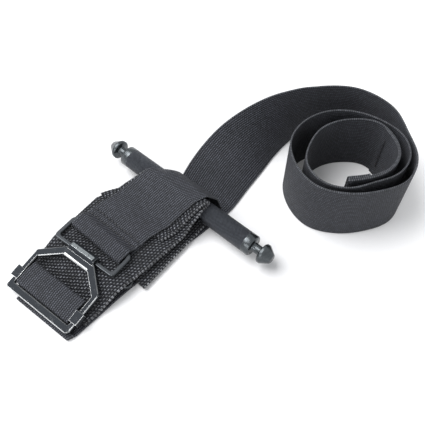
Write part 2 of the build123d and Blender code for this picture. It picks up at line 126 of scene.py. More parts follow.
# the sky's strength for all rays, and what is added for those that see it directly
SKY_STRENGTH, SKY_EXTRA = 0.4, 0.6
world = bpy.data.worlds.new("studio")
world.use_nodes = True
tree = world.node_tree
sky = tree.nodes["Background"]
sky.inputs["Color"].default_value = (0.95, 0.975, 1.0, 1)
seen = tree.nodes.new("ShaderNodeLightPath")
direct = maths(tree, "MAXIMUM", seen.outputs["Is Camera Ray"], seen.outputs["Is Glossy Ray"])
direct = maths(tree, "MAXIMUM", direct, seen.outputs["Is Transmission Ray"])
tree.links.new(maths(tree, "MULTIPLY_ADD", direct, SKY_EXTRA, SKY_STRENGTH), sky.inputs["Strength"])
bpy.context.scene.world = world


def soft_box(name, place, aim, size, power, colour=(1, 1, 1)):
    """A square soft box that points from its place at an aim, in metres."""
    lamp = bpy.data.lights.new(name, "AREA")
    lamp.shape = "SQUARE"
    lamp.size = size
    lamp.energy = power
    lamp.color = colour
    box = bpy.data.objects.new(name, lamp)
    bpy.context.scene.collection.objects.link(box)
    box.location = place
    box.rotation_mode = "QUATERNION"
    box.rotation_quaternion = (Vector(aim) - Vector(place)).to_track_quat("-Z", "Y")


soft_box("overhead_box", (-0.20, 0.40, 0.80), (0, 0, 0), 0.7, 11.5)
soft_box("front_box", (-0.62, -0.20, 0.30), (-0.05, 0, 0), 0.25, 1.6)

EYE_PLACE, EYE_AIM = Vector((-0.1254, -0.1274, 0.2559)), Vector((0.00696, -0.0115, 0))
camera = bpy.data.cameras.new("camera")
camera.lens = 44.98
camera.sensor_width = 36.0
camera.clip_start = 0.01
eye = bpy.data.objects.new("camera", camera)
bpy.context.scene.collection.objects.link(eye)
eye.location = EYE_PLACE
eye.rotation_mode = "QUATERNION"
eye.rotation_quaternion = (EYE_AIM - EYE_PLACE).to_track_quat("-Z", "Y")
bpy.context.scene.camera = eye
bpy.context.scene.view_settings.view_transform = "Standard"

# ---------------------------------------------------------------- lower pad
# A short flat length of heavy coarse nylon webbing under the triangular ring. It is cut hot across
# both ends, so the yarn there is melted to a hard lip.
BEND_STEPS = 8


def rounded_line(corners, bends, step):
    """Points along straight runs joined by round bends, for corners of any number of values. The first
    two values are the side view, and they alone set the bends. The points are about step apart."""
    corners = [Vector(corner) for corner in corners]
    line = [corners[0]]
    for before, corner, after, bend in zip(corners, corners[1:], corners[2:], bends):
        back, ahead = (before - corner), (after - corner)
        back_run, ahead_run = math.hypot(*back[:2]), math.hypot(*ahead[:2])
        open_angle = Vector(back[:2]).angle(Vector(ahead[:2]))
        reach = min(bend / math.tan(open_angle / 2), 0.49 * back_run, 0.49 * ahead_run)
        first, last = corner + back * (reach / back_run), corner + ahead * (reach / ahead_run)
        pull = math.sin(open_angle / 2)
        for index in range(BEND_STEPS + 1):
            t = index / BEND_STEPS
            weights = ((1 - t) ** 2, 2 * t * (1 - t) * pull, t * t)
            point = first * weights[0] + corner * weights[1] + last * weights[2]
            line.append(point / sum(weights))
    line.append(corners[-1])
    lengths = [0.0]
    for one, two in zip(line, line[1:]):
        lengths.append(lengths[-1] + math.hypot(*(two - one)[:2]))
    count = max(2, round(lengths[-1] / step))
    points, place = [], 0
    for index in range(count + 1):
        want = lengths[-1] * index / count
        while place < len(line) - 2 and lengths[place + 1] < want:
            place += 1
        span = lengths[place + 1] - lengths[place]
        share = (want - lengths[place]) / span if span else 0.0
        points.append(line[place].lerp(line[place + 1], min(share, 1.0)))
    return points


def side_view_stations(points):
    """Stations of a strip whose side view is x and z, from points (x, z, right edge y, left edge y)."""
    stations = []
    for index, (x, z, right, left) in enumerate(points):
        one, two = points[max(index - 1, 0)], points[min(index + 1, len(points) - 1)]
        along = Vector((two[0] - one[0], 0, two[1] - one[1])).normalized()
        across = Vector((0, 1, 0))
        stations.append((Vector((x, (left + right) / 2, z)), across, along.cross(across), (left - right) / 2))
    return stations


def woven_strip(name, stations, thick, cells, scallop=0.0, pitch=1.0, wander=0.0):
    """A closed strip of webbing from stations (centre, across, normal, half width), in millimetres. Its
    edges are round, and its UV map is the flat webbing in metres: length, then width. scallop is how far
    each turn of the weft bulges out at the edge, pitch its spacing, and wander the edge's slow sway."""
    radius, arc = thick / 2, 5
    section = [(-1 + 2 * index / cells, 0, 1) for index in range(cells + 1)]
    section += [(1, math.pi * index / arc, 0) for index in range(1, arc)]
    section += [(1 - 2 * index / cells, 0, -1) for index in range(cells + 1)]
    section += [(-1, math.pi * index / arc, 0) for index in range(1, arc)]
    section.append(section[0])
    lengths = [0.0]
    for one, two in zip(stations, stations[1:]):
        lengths.append(lengths[-1] + (two[0] - one[0]).length)
    rows, around = len(stations) - 1, len(section) - 1
    shape = bmesh.new()
    flat = shape.loops.layers.uv.new("webbing")
    selvage = shape.faces.layers.float.new("selvage")
    bmesh.ops.create_grid(shape, x_segments=rows, y_segments=around, size=1.0)
    places = {}
    for vert in shape.verts:
        row, turn = round((vert.co.x + 1) / 2 * rows), round((vert.co.y + 1) / 2 * around)
        centre, across, normal, half = stations[row]
        half += scallop * abs(math.sin(math.pi * lengths[row] / pitch))
        half += wander * noise.noise(Vector((lengths[row] * 0.08, half, 7.3)))
        side, angle, face = section[turn]
        if face:
            sideways, height = side * (half - radius), face * radius
        else:
            sideways = side * (half - radius + radius * math.sin(angle))
            height = side * radius * math.cos(angle)
        places[vert] = (lengths[row], sideways, abs(sideways) > half - 1.02 * radius)
        vert.co = (centre + across * sideways + normal * height) * MM
    for face in shape.faces:
        face[selvage] = float(all(places[vert][2] for vert in face.verts))
        for loop in face.loops:
            loop[flat].uv = (places[loop.vert][0] * MM, places[loop.vert][1] * MM)
    bmesh.ops.remove_doubles(shape, verts=shape.verts, dist=1e-7)
    bmesh.ops.holes_fill(shape, edges=[edge for edge in shape.edges if edge.is_boundary])
    bmesh.ops.recalc_face_normals(shape, faces=shape.faces)
    for face in shape.faces:
        face.smooth = len(face.verts) == 4
    return finished(name, shape), lengths[-1]


def weave_group():
    """Ribs of warp yarn that run along the webbing, each crossed by picks of weft that sit half a pick
    further on in the next rib."""
    tree = bpy.data.node_groups.new("woven_ribs", "ShaderNodeTree")
    tree.interface.new_socket("Flat", in_out="INPUT", socket_type="NodeSocketVector")
    settings = {"Rib": 0.0012, "Pick": 0.0012, "Slant": 0.0, "Stagger": 0.5, "Crossing": 0.5}
    for name, value in settings.items():
        tree.interface.new_socket(name, in_out="INPUT", socket_type="NodeSocketFloat").default_value = value
    for name in ("Height", "Tone", "Turns"):
        tree.interface.new_socket(name, in_out="OUTPUT", socket_type="NodeSocketFloat")
    given, result = tree.nodes.new("NodeGroupInput"), tree.nodes.new("NodeGroupOutput")
    split = tree.nodes.new("ShaderNodeSeparateXYZ")
    tree.links.new(given.outputs["Flat"], split.inputs[0])
    sway = put(tree, "ShaderNodeTexNoise", Vector=given.outputs["Flat"], Scale=260.0, Detail=2.0)
    drift = maths(tree, "MULTIPLY_ADD", sway.outputs["Fac"], 0.5, -0.25)
    rib = maths(tree, "DIVIDE", split.outputs["Y"], given.outputs["Rib"])
    rib = maths(tree, "MULTIPLY_ADD", drift, 0.5, rib)
    rib_number, rib_place = maths(tree, "FLOOR", rib), maths(tree, "FRACT", rib)
    pick = maths(tree, "DIVIDE", split.outputs["X"], given.outputs["Pick"])
    pick = maths(tree, "MULTIPLY_ADD", rib_number, given.outputs["Stagger"], pick)
    pick = maths(tree, "MULTIPLY_ADD", rib_place, given.outputs["Slant"], pick)
    pick = maths(tree, "ADD", pick, drift)
    pick_number, pick_place = maths(tree, "FLOOR", pick), maths(tree, "FRACT", pick)
    rib_round = maths(tree, "SINE", maths(tree, "MULTIPLY", rib_place, math.pi))
    pick_round = maths(tree, "SINE", maths(tree, "MULTIPLY", pick_place, math.pi))
    rib_round = maths(tree, "POWER", rib_round, 0.7)
    pick_round = maths(tree, "POWER", pick_round, given.outputs["Crossing"])
    height = maths(tree, "MULTIPLY", rib_round, pick_round)
    tree.links.new(height, result.inputs["Height"])
    turns = maths(tree, "DIVIDE", split.outputs["X"], given.outputs["Pick"])
    turns = maths(tree, "SINE", maths(tree, "MULTIPLY", maths(tree, "FRACT", turns), math.pi))
    tree.links.new(turns, result.inputs["Turns"])
    cell = put(tree, "ShaderNodeCombineXYZ", X=rib_number, Y=pick_number)
    chance = put(tree, "ShaderNodeTexWhiteNoise", noise_dimensions="2D", Vector=cell.outputs[0])
    tree.links.new(chance.outputs["Value"], result.inputs["Tone"])
    return tree


woven_ribs = weave_group()


def webbing_material(
        name, gap_shade, yarn, glint, rib, pick, slant, crossing, relief, roughness, sheen, uneven, selvage_highlight):
    """Nylon webbing: painted shade in the gaps between the yarns, the yarn's own colour and a painted
    highlight on the crown of each one. The selvage colour is a painted highlight on the selvage, where the
    weft turns back, with the gaps' painted shade between the turns. rib, pick and relief are in millimetres."""
    material, tree, output = new_material(name)
    flat = put(tree, "ShaderNodeUVMap", uv_map="webbing")
    weave = tree.nodes.new("ShaderNodeGroup")
    weave.node_tree = woven_ribs
    tree.links.new(flat.outputs["UV"], weave.inputs["Flat"])
    weave.inputs["Rib"].default_value = rib * MM
    weave.inputs["Pick"].default_value = pick * MM
    weave.inputs["Slant"].default_value = slant
    weave.inputs["Crossing"].default_value = crossing
    ramp = put(tree, "ShaderNodeValToRGB", Fac=weave.outputs["Height"])
    stops = ramp.color_ramp.elements
    # painted shade in the gaps, the yarn's own colour, and a painted highlight on each yarn's crown
    stops[0].position, stops[0].color = 0.30, (*gap_shade, 1)
    stops[1].position, stops[1].color = 0.72, (*yarn, 1)
    crown = stops.new(0.97)
    crown.color = (*glint, 1)
    patches = put(tree, "ShaderNodeTexNoise", Vector=flat.outputs["UV"], Scale=70.0, Detail=3.0)
    turned = put(tree, "ShaderNodeAttribute", attribute_name="selvage")
    # painted highlight on the selvage's weft turns, with painted shade between them
    turns = put(tree, "ShaderNodeValToRGB", Fac=weave.outputs["Turns"])
    turns.color_ramp.elements[0].position, turns.color_ramp.elements[0].color = 0.35, (*gap_shade, 1)
    turns.color_ramp.elements[1].position, turns.color_ramp.elements[1].color = 0.9, (*selvage_highlight, 1)
    edged = put(
        tree, "ShaderNodeMixRGB", Fac=turned.outputs["Fac"], Color1=ramp.outputs["Color"],
        Color2=turns.outputs["Color"])
    tone = maths(tree, "MULTIPLY_ADD", weave.outputs["Tone"], uneven, 1 - uneven / 2)
    tone = maths(tree, "MULTIPLY", tone, maths(tree, "MULTIPLY_ADD", patches.outputs["Fac"], 0.5, 0.75))
    tinted = put(tree, "ShaderNodeVectorMath", operation="SCALE", Scale=tone)
    tree.links.new(edged.outputs["Color"], tinted.inputs[0])
    bump = put(tree, "ShaderNodeBump", Height=weave.outputs["Height"], Strength=1.0, Distance=relief * MM)
    shader = put(tree, "ShaderNodeBsdfPrincipled", Roughness=roughness, Specular_IOR_Level=0.35)
    shader.inputs["Sheen Weight"].default_value = sheen
    shader.inputs["Sheen Roughness"].default_value = 0.45
    tree.links.new(tinted.outputs[0], shader.inputs["Base Color"])
    tree.links.new(bump.outputs["Normal"], shader.inputs["Normal"])
    tree.links.new(shader.outputs[0], output.inputs["Surface"])
    return material


COARSE_THICK, COARSE_CELLS = 1.8, 36
COARSE_PICK, COARSE_SCALLOP, COARSE_WANDER = 2.1, 0.25, 0.3
COARSE_STEP = 0.5
# its first colour is painted shade in the gaps; its third colour and its selvage colour are painted
# highlights
coarse_webbing = webbing_material(
    "coarse_webbing", (0.0012, 0.0014, 0.004), (0.0115, 0.0122, 0.0155), (0.13, 0.137, 0.15),
    rib=1.55, pick=COARSE_PICK, slant=0.55, crossing=0.8, relief=0.7, roughness=0.55, sheen=0.02, uneven=1.1,
    selvage_highlight=(0.15, 0.155, 0.165))

# a corner of a side view is x, z, and the y of its right and left edges
corners = [(-54.5, 2.15, -17.6, 33.0), (0.0, 2.15, -15.2, 35.5)]
lower_pad, lower_pad_length = woven_strip(
    "lower_pad_webbing", side_view_stations(rounded_line(corners, [], COARSE_STEP)), COARSE_THICK,
    COARSE_CELLS, scallop=COARSE_SCALLOP, pitch=COARSE_PICK, wander=COARSE_WANDER)
lower_pad.data.materials.append(coarse_webbing)
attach(lower_pad, "stack")
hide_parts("lower_pad")

# ---------------------------------------------------------------- base pad
# One length of the same coarse webbing, and the bed of the whole strap. It runs under the buckle and the
# keeper tape, climbs the windlass rod and is folded back on itself, with a hot-cut end.
corners = [
    (-89.0, 2.15, -9.7, 38.4), (-79.6, 2.15, -10.2, 40.0), (-66.6, 7.2, -10.9, 40.4),
    (-57.8, 7.2, -11.4, 41.1), (-55.4, 6.25, -11.5, 41.4), (-33.0, 6.25, -12.8, 43.2),
    (-20.27, 6.25, -13.5, 38.3), (-4.27, 16.65, -14.3, 28.5), (1.0, 16.65, -14.6, 19.0),
    (1.0, 18.7, -14.1, 18.5), (-2.6, 18.7, -13.3, 25.0), (-4.87, 18.7, -12.8, 28.5),
    (-20.87, 8.3, -9.1, 37.6), (-30.0, 8.3, -7.0, 42.5)]
bends = [2.2, 2.2, 2.2, 2.2, 2.2, 2.2, 2.2, 0.97, 0.97, 2.2, 2.2, 2.2]
base_pad, base_pad_length = woven_strip(
    "base_pad_webbing", side_view_stations(rounded_line(corners, bends, COARSE_STEP)), COARSE_THICK,
    COARSE_CELLS, scallop=COARSE_SCALLOP, pitch=COARSE_PICK, wander=COARSE_WANDER)
base_pad.data.materials.append(coarse_webbing)
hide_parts("base_pad")
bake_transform(base_pad)

# ---------------------------------------------------------------- keeper tape and its seam
# Thin tape folded round the triangular ring's long bar, with both tails sewn together under the base
# pad by one row of thread.
# its first colour is painted shade in the gaps; its third colour and its selvage colour are painted
# highlights
smooth_webbing = webbing_material(
    "smooth_webbing", (0.0012, 0.0014, 0.004), (0.0175, 0.019, 0.0248), (0.062, 0.066, 0.079),
    rib=1.27, pick=1.1, slant=0.0, crossing=0.22, relief=0.32, roughness=0.7, sheen=0.025, uneven=0.6,
    selvage_highlight=(0.075, 0.079, 0.088))
corners = [
    (-70.7, 2.7, -3.0, 22.0), (-58.65, 2.7, -3.0, 22.0), (-58.65, 5.7, -3.0, 22.0), (-63.2, 5.7, -3.0, 22.0),
    (-66.95, 3.65, -3.0, 22.0), (-70.7, 3.65, -3.0, 22.0)]
keeper, _ = woven_strip(
    "keeper_tape", side_view_stations(rounded_line(corners, [0.7] * 4, 0.4)), 0.7, 20)
keeper.data.materials.append(smooth_webbing)
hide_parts("tri_ring_keeper")
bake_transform(keeper)


def thread_stitches(name, places, length, width, height):
    """Short proud stitches of twisted thread, each at a place with its direction and its up, in millimetres.
    The ends dip into the webbing."""
    shape = bmesh.new()
    for place, along, up in places:
        along, up = Vector(along).normalized(), Vector(up).normalized()
        side = up.cross(along)
        made = bmesh.ops.create_uvsphere(shape, u_segments=8, v_segments=6, radius=0.5)["verts"]
        for vert in made:
            z, ring = vert.co.z * 2, Vector((vert.co.x, vert.co.y))
            stretch = math.copysign(abs(z) ** 0.6, z) / 2
            bow = (1 - (2 * stretch) ** 4) * height * 0.25
            point = Vector(place) + along * (stretch * length) + side * (ring.x * width)
            vert.co = (point + up * (ring.y * height * 1.2 + bow)) * MM
    bmesh.ops.recalc_face_normals(shape, faces=shape.faces)
    for face in shape.faces:
        face.smooth = True
    return finished(name, shape)


def thread_material():
    """Bonded nylon thread: near black, with the slanting lay of its plies and a slight gloss."""
    material, tree, output = new_material("bonded_thread")
    place = put(tree, "ShaderNodeTexCoord")
    lay = put(
        tree, "ShaderNodeTexWave", bands_direction="DIAGONAL", Vector=place.outputs["Object"], Scale=900.0)
    lay.inputs["Distortion"].default_value = 0.6
    ramp = put(tree, "ShaderNodeValToRGB", Fac=lay.outputs["Fac"])
    ramp.color_ramp.elements[0].color = (0.002, 0.002, 0.0035, 1)
    ramp.color_ramp.elements[1].color = (0.012, 0.0125, 0.016, 1)
    bump = put(tree, "ShaderNodeBump", Height=lay.outputs["Fac"], Strength=0.7, Distance=0.06 * MM)
    shader = put(tree, "ShaderNodeBsdfPrincipled", Roughness=0.5)
    tree.links.new(ramp.outputs["Color"], shader.inputs["Base Color"])
    tree.links.new(bump.outputs["Normal"], shader.inputs["Normal"])
    tree.links.new(shader.outputs[0], output.inputs["Surface"])
    return material


bonded_thread = thread_material()
STITCH_SPACING = 2.5
places = [((-69.2, -0.5 + STITCH_SPACING * index, 4.1), (0, 1, 0), (0, 0, 1)) for index in range(9)]
keeper_seam = thread_stitches("keeper_seam", places, 1.7, 0.5, 0.3)
keeper_seam.data.materials.append(bonded_thread)
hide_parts("keeper_stitching")
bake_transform(keeper_seam)

# ---------------------------------------------------------------- triangular ring
# A flat ring pressed from dark coated steel, held between the pads by the keeper tape. Its corner shows
# between the layers. The press leaves its edges slightly round and the coat wears thin along them, and the
# edges that face the front lamp carry a painted highlight.


def eased_copy(name, node, width, sharp=28.0):
    """A CAD node's shape with its sharp edges rounded by a width in millimetres. The rounded faces are marked
    in the piece's own attribute: lightly, for edge wear, all round, and fully, for a painted highlight, on
    the side that faces the front lamp, towards the strap's front."""
    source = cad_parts[node]
    shape = bmesh.new()
    shape.from_mesh(source.data)
    wear_and_highlight = shape.faces.layers.float.new("wear_and_highlight")
    bmesh.ops.remove_doubles(shape, verts=shape.verts, dist=2e-6)
    bmesh.ops.dissolve_limit(shape, angle_limit=math.radians(1.0), verts=shape.verts, edges=shape.edges)
    limit = math.radians(sharp)
    edges = [edge for edge in shape.edges if edge.is_manifold and edge.calc_face_angle(0.0) > limit]
    made = bmesh.ops.bevel(
        shape, geom=edges, offset=width * MM, offset_type="OFFSET", affect="EDGES", segments=3, profile=0.5,
        material=-1, clamp_overlap=True)
    rounded = set(made["faces"])
    for face in shape.faces:
        face.smooth = True
        narrow = 2 * face.calc_area() / face.calc_perimeter() < 2 * width * MM
        long_sides = sorted(face.edges, key=lambda edge: edge.calc_length())[-2:]
        beside = {other for edge in long_sides for other in edge.link_faces if other != face}
        if face in rounded or (narrow and beside <= rounded):
            # the rounded faces that face the front lamp get a painted highlight; the others a little edge
            # wear
            outer = face.normal.y < -0.5 and face.calc_center_median().y < 0.0
            faces_front_lamp = face.normal.z > 0.1 and (face.normal.x < -0.15 or outer)
            face[wear_and_highlight] = 1.0 if faces_front_lamp else 0.25
    piece = finished(name, shape)
    keep = piece.modifiers.new("flat faces", "WEIGHTED_NORMAL")
    keep.keep_sharp = True
    return piece


def wear_group():
    """Where a coat has worn, and where edges carry a painted highlight: the marked edges, broken up by noise,
    and a few scuffs on the flats.
    """
    tree = bpy.data.node_groups.new("coat_wear_and_highlight", "ShaderNodeTree")
    tree.interface.new_socket("Place", in_out="INPUT", socket_type="NodeSocketVector")
    tree.interface.new_socket("Edge", in_out="INPUT", socket_type="NodeSocketFloat")
    tree.interface.new_socket("Scuffs", in_out="INPUT", socket_type="NodeSocketFloat").default_value = 0.2
    for name in ("Wear and highlight", "Grain"):
        tree.interface.new_socket(name, in_out="OUTPUT", socket_type="NodeSocketFloat")
    given, result = tree.nodes.new("NodeGroupInput"), tree.nodes.new("NodeGroupOutput")
    broad = put(tree, "ShaderNodeTexNoise", Vector=given.outputs["Place"], Scale=220.0, Detail=4.0)
    fine = put(tree, "ShaderNodeTexNoise", Vector=given.outputs["Place"], Scale=2600.0, Detail=2.0)
    broken_up = maths(tree, "MULTIPLY_ADD", broad.outputs["Fac"], 0.8, 0.45, clamp=True)
    edge = maths(tree, "MULTIPLY", given.outputs["Edge"], broken_up)
    mottle = maths(tree, "MULTIPLY", broad.outputs["Fac"], fine.outputs["Fac"])
    scuff = maths(tree, "GREATER_THAN", mottle, 0.38)
    scuff = maths(tree, "MULTIPLY", scuff, given.outputs["Scuffs"])
    tree.links.new(maths(tree, "MAXIMUM", edge, scuff), result.inputs["Wear and highlight"])
    tree.links.new(fine.outputs["Fac"], result.inputs["Grain"])
    return tree


coat_wear_and_highlight = wear_group()


def coated_metal(name, coat, bare_and_highlight, roughness, scuffs=0.05, grain=0.006):
    """Metal with a thin dark coat that has worn to bare metal along the edges; the bare colour also paints a
    highlight on the edges that face the front lamp.
    """
    material, tree, output = new_material(name)
    place = tree.nodes.new("ShaderNodeTexCoord")
    edge = put(tree, "ShaderNodeAttribute", attribute_name="wear_and_highlight")
    wear = tree.nodes.new("ShaderNodeGroup")
    wear.node_tree = coat_wear_and_highlight
    wear.inputs["Scuffs"].default_value = scuffs
    tree.links.new(place.outputs["Object"], wear.inputs["Place"])
    tree.links.new(edge.outputs["Fac"], wear.inputs["Edge"])
    # the pale second colour is worn metal and, along the edges that face the front lamp, a painted highlight
    mix = put(tree, "ShaderNodeMixRGB", Fac=wear.outputs["Wear and highlight"], Color1=(*coat, 1), Color2=(*bare_and_highlight, 1))
    rough = maths(tree, "MULTIPLY_ADD", wear.outputs["Grain"], 0.1, roughness - 0.05)
    rough = maths(tree, "MULTIPLY_ADD", wear.outputs["Wear and highlight"], -0.22, rough)
    bump = put(tree, "ShaderNodeBump", Height=wear.outputs["Grain"], Strength=0.5, Distance=grain * MM)
    metal = maths(tree, "MULTIPLY_ADD", wear.outputs["Wear and highlight"], 0.35, 0.6)
    shader = put(tree, "ShaderNodeBsdfPrincipled", Metallic=metal, Roughness=rough, Specular_IOR_Level=0.25)
    tree.links.new(mix.outputs["Color"], shader.inputs["Base Color"])
    tree.links.new(bump.outputs["Normal"], shader.inputs["Normal"])
    tree.links.new(shader.outputs[0], output.inputs["Surface"])
    return material


# its paler second colour is edge wear and a faint painted highlight on the edges that face the front lamp
ring_metal = coated_metal("ring_metal", (0.034, 0.037, 0.041), (0.07, 0.075, 0.08), 0.5)
tri_ring = eased_copy("triangular_ring", "tri_ring", 0.6)
tri_ring.data.materials.append(ring_metal)
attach(tri_ring, "tri_ring")
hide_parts("tri_ring")

# ---------------------------------------------------------------- windlass rod
# An aluminium rod turned on a lathe and anodised black. The body is finely knurled, a plain band is left
# at each end, and a neck and a coned head follow, for the ring that catches it. A slot takes the band.
ROD_Y, ROD_Z = 1.9, 9.4
KNURL_RADIUS, BAND_RADIUS, NECK_RADIUS, HEAD_RADIUS = 6.02, 6.1, 2.7, 5.8
KNURL_END, ROD_END, NECK_END, TIP = 44.2, 49.0, 54.6, 61.4
SLOT_Y, SLOT_LENGTH, SLOT_HEIGHT, SLOT_DEPTH = 4.5, 38.0, 3.0, 20.0
# half of the rod, from its middle out, as radius and distance along it
profile = [
    (KNURL_RADIUS, 0.0), (KNURL_RADIUS, KNURL_END), (BAND_RADIUS, KNURL_END + 0.3),
    (BAND_RADIUS, ROD_END - 0.5), (BAND_RADIUS - 0.5, ROD_END), (NECK_RADIUS + 0.2, ROD_END),
    (NECK_RADIUS, ROD_END + 0.25), (NECK_RADIUS, NECK_END - 0.2), (NECK_RADIUS + 0.2, NECK_END),
    (HEAD_RADIUS - 0.5, NECK_END), (HEAD_RADIUS, NECK_END + 0.5), (HEAD_RADIUS, NECK_END + 2.0),
    (HEAD_RADIUS - 0.25, NECK_END + 2.4), (2.75, TIP - 0.2), (2.4, TIP), (0.0, TIP)]
shape = bmesh.new()
for half in (1, -1):
    verts = [shape.verts.new((radius * MM, half * along * MM, 0)) for radius, along in profile]
    edges = [shape.edges.new(pair) for pair in zip(verts, verts[1:])]
    bmesh.ops.spin(
        shape, geom=verts + edges, cent=(0, 0, 0), axis=(0, 1, 0), angle=2 * math.pi, steps=96,
        use_merge=True)
bmesh.ops.remove_doubles(shape, verts=shape.verts, dist=1e-6)
bmesh.ops.recalc_face_normals(shape, faces=shape.faces)
for face in shape.faces:
    face.smooth = True
bmesh.ops.translate(shape, verts=shape.verts, vec=(0, ROD_Y * MM, ROD_Z * MM))
rod = finished("windlass_rod", shape)
shape = bmesh.new()
bmesh.ops.create_cube(shape, size=1.0)
bmesh.ops.scale(shape, verts=shape.verts, vec=(SLOT_DEPTH * MM, SLOT_LENGTH * MM, SLOT_HEIGHT * MM))
bmesh.ops.translate(shape, verts=shape.verts, vec=(0, SLOT_Y * MM, ROD_Z * MM))
cutter = finished("slot_cutter", shape)
cut = rod.modifiers.new("slot", "BOOLEAN")
cut.object = cutter
cut.operation = "DIFFERENCE"
cut.solver = "EXACT"
slotted = bpy.data.meshes.new_from_object(rod.evaluated_get(bpy.context.evaluated_depsgraph_get()))
rod.modifiers.clear()
rod.data = slotted
bpy.data.objects.remove(cutter)


KNURL_COUNT, KNURL_PITCH, TOOL_PITCH = 18.0, 2.1, 0.35


def anodised_material():
    """Black anodised aluminium: a diamond knurl on the body, and turned rings on the ends."""
    material, tree, output = new_material("anodised_rod")
    place = tree.nodes.new("ShaderNodeTexCoord")
    split = tree.nodes.new("ShaderNodeSeparateXYZ")
    tree.links.new(place.outputs["Object"], split.inputs[0])
    x, y = split.outputs["X"], maths(tree, "SUBTRACT", split.outputs["Y"], ROD_Y * MM)
    z = maths(tree, "SUBTRACT", split.outputs["Z"], ROD_Z * MM)
    turn = maths(tree, "MULTIPLY", maths(tree, "ARCTAN2", x, z), KNURL_COUNT)
    along = maths(tree, "MULTIPLY", y, 2 * math.pi / (KNURL_PITCH * MM))
    right = maths(tree, "ABSOLUTE", maths(tree, "SINE", maths(tree, "ADD", turn, along)))
    left = maths(tree, "ABSOLUTE", maths(tree, "SINE", maths(tree, "SUBTRACT", turn, along)))
    diamond = maths(tree, "MULTIPLY", right, left)
    reach = maths(tree, "ABSOLUTE", y)
    body = maths(tree, "LESS_THAN", reach, (KNURL_END + 0.1) * MM)
    tooled = maths(tree, "SINE", maths(tree, "MULTIPLY", y, 2 * math.pi / (TOOL_PITCH * MM)))
    height = maths(tree, "ADD", maths(tree, "MULTIPLY", diamond, body), maths(tree, "MULTIPLY", tooled, 0.03))
    grain = put(tree, "ShaderNodeTexNoise", Vector=place.outputs["Object"], Scale=900.0, Detail=3.0)
    shade = maths(tree, "MULTIPLY_ADD", diamond, 0.65, maths(tree, "MULTIPLY", grain.outputs["Fac"], 0.5))
    knurled = put(tree, "ShaderNodeValToRGB", Fac=shade)
    knurled.color_ramp.elements[0].color = (0.002, 0.0022, 0.0035, 1)
    knurled.color_ramp.elements[1].position = 0.8
    knurled.color_ramp.elements[1].color = (0.082, 0.088, 0.101, 1)
    turned = put(tree, "ShaderNodeValToRGB", Fac=grain.outputs["Fac"])
    turned.color_ramp.elements[0].color = (0.045, 0.050, 0.054, 1)
    turned.color_ramp.elements[1].color = (0.105, 0.114, 0.120, 1)
    mix = put(
        tree, "ShaderNodeMixRGB", Fac=body, Color1=turned.outputs["Color"], Color2=knurled.outputs["Color"])
    bump = put(tree, "ShaderNodeBump", Height=height, Strength=1.0, Distance=0.35 * MM)
    rough = maths(tree, "MULTIPLY_ADD", body, 0.26, 0.2)
    shader = put(tree, "ShaderNodeBsdfPrincipled", Metallic=0.9, Roughness=rough)
    tree.links.new(mix.outputs["Color"], shader.inputs["Base Color"])
    tree.links.new(bump.outputs["Normal"], shader.inputs["Normal"])
    tree.links.new(shader.outputs[0], output.inputs["Surface"])
    return material


rod.data.materials.append(anodised_material())
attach(rod, "windlass")
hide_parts("windlass")

# ---------------------------------------------------------------- tension band and its seam
# Thin smooth webbing that the rod winds. It is sewn to the lower pad, goes through the rod's slot and
# drops down inside the cover's hollow end.
corners = [
    (-21.0, 3.7, -8.5, 17.5), (-13.0, 3.7, -8.5, 17.5), (-8.4, 9.4, -8.5, 17.5), (7.9, 9.4, -8.5, 17.5),
    (8.9, 2.5, -8.5, 17.5)]
tension, _ = woven_strip(
    "tension_band_webbing", side_view_stations(rounded_line(corners, [2.2, 2.2, 1.0], 0.5)), 0.8, 20)
tension.data.materials.append(smooth_webbing)
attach(tension, "stack")
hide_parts("tension_band")
places = []
for x in (-19.5, -16.0):
    places += [((x, -6.0 + STITCH_SPACING * index, 4.15), (0, 1, 0), (0, 0, 1)) for index in range(9)]
tension_seam = thread_stitches("tension_band_seam", places, 1.7, 0.5, 0.3)
tension_seam.data.materials.append(bonded_thread)
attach(tension_seam, "stack")
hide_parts("tension_band_stitching")

# ---------------------------------------------------------------- cover webbing
# Smooth strap webbing laid over the whole stack. It starts under the windlass, comes up and over it, is
# sewn down behind the ring, and goes round the ring's rear bar.
STRAP_WIDTH, STRAP_THICK, STRAP_CELLS = 38.0, 1.0, 30


def cover_corner(x, z, gathered):
    """A corner of the cover's side view, with the skewed edges of the webbing there. gathered is how much
    narrower its left side is, where it slides down the end of the pads' fold."""
    middles = [(-60.0, 17.9), (-44.0, 18.7), (-28.0, 17.0), (0.0, 8.4), (13.0, 3.4)]
    for (x_one, y_one), (x_two, y_two) in zip(middles, middles[1:]):
        if x_one <= x <= x_two:
            middle = y_one + (y_two - y_one) * (x - x_one) / (x_two - x_one)
    return (x, z, middle - STRAP_WIDTH / 2, middle + STRAP_WIDTH / 2 - gathered)


corners = [cover_corner(*corner) for corner in (
    (1.6, 1.75, 9.0), (11.4, 1.75, 9.0), (8.9, 12.8, 8.0), (2.6, 20.35, 5.5), (-5.36, 20.35, 1.5),
    (-21.36, 9.95, 0.0), (-33.2, 9.95, 0.0), (-36.4, 9.5, 0.0), (-39.2, 8.98, 0.0), (-41.1, 9.6, 0.0),
    (-43.0, 8.98, 0.0), (-44.6, 9.5, 0.0), (-47.2, 11.6, 0.0), (-55.2, 11.6, 0.0), (-55.2, 7.9, 0.0),
    (-37.0, 7.9, 0.0))]
bends = [1.0, 2.2, 2.2, 2.2, 2.2, 2.2, 2.2, 1.0, 1.0, 1.0, 1.0, 1.0, 1.0, 1.8, 1.8]
cover, cover_length = woven_strip(
    "cover_strap", side_view_stations(rounded_line(corners, bends, 0.5)), STRAP_THICK, STRAP_CELLS,
    wander=0.2)
